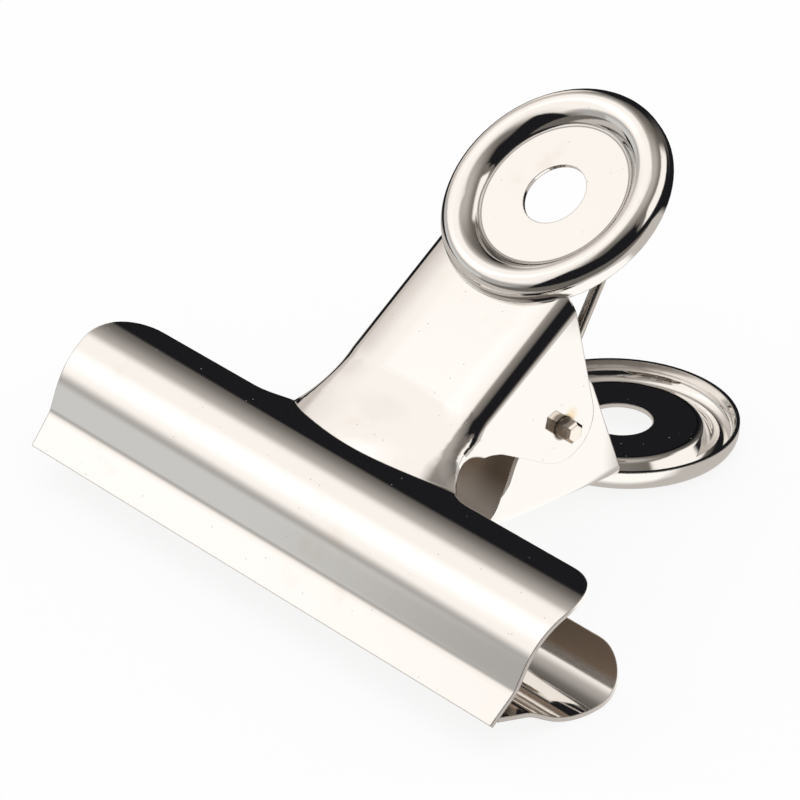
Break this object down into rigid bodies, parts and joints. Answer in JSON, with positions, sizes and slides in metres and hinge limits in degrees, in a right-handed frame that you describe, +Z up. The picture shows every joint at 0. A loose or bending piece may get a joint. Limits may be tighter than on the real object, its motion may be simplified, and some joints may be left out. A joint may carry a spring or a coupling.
{
  "type": "bulldog clip",
  "caption": "Sprung sheet-metal paper clip with a wide barrel jaw; squeezing the two round thumb discs opens the lips.",
  "frame": {"origin": "middle of the bounding box at floor level", "axes": "+Z up with the clip lying on its lower barrel and lower thumb disc, +X along the hinge pin, +Y from the lips to the discs"},
  "size_m": [0.0766, 0.0672, 0.0428],
  "materials": {
    "nickel_sheet": "polished nickel plate on steel sheet",
    "nickel_wire": "nickel-plated steel wire, cropped ends",
    "spring_wire": "drawn and plated spring wire"
  },
  "bodies": {
    "lower": {"lower_half": "nickel_sheet", "hinge_pin": "nickel_wire", "torsion_spring": "spring_wire"},
    "upper": {"upper_half": "nickel_sheet"}
  },
  "joints": [
    {"name": "squeeze", "type": "hinge", "parent": "lower", "child": "upper", "pos_m": [0, 0.00117, 0.01341], "axis": [-1, 0, 0], "range_deg": [0, 40], "stiffness_Nm_per_rad": 0.9, "springref_deg": -40.11, "deforming": ["torsion_spring"]}
  ]
}
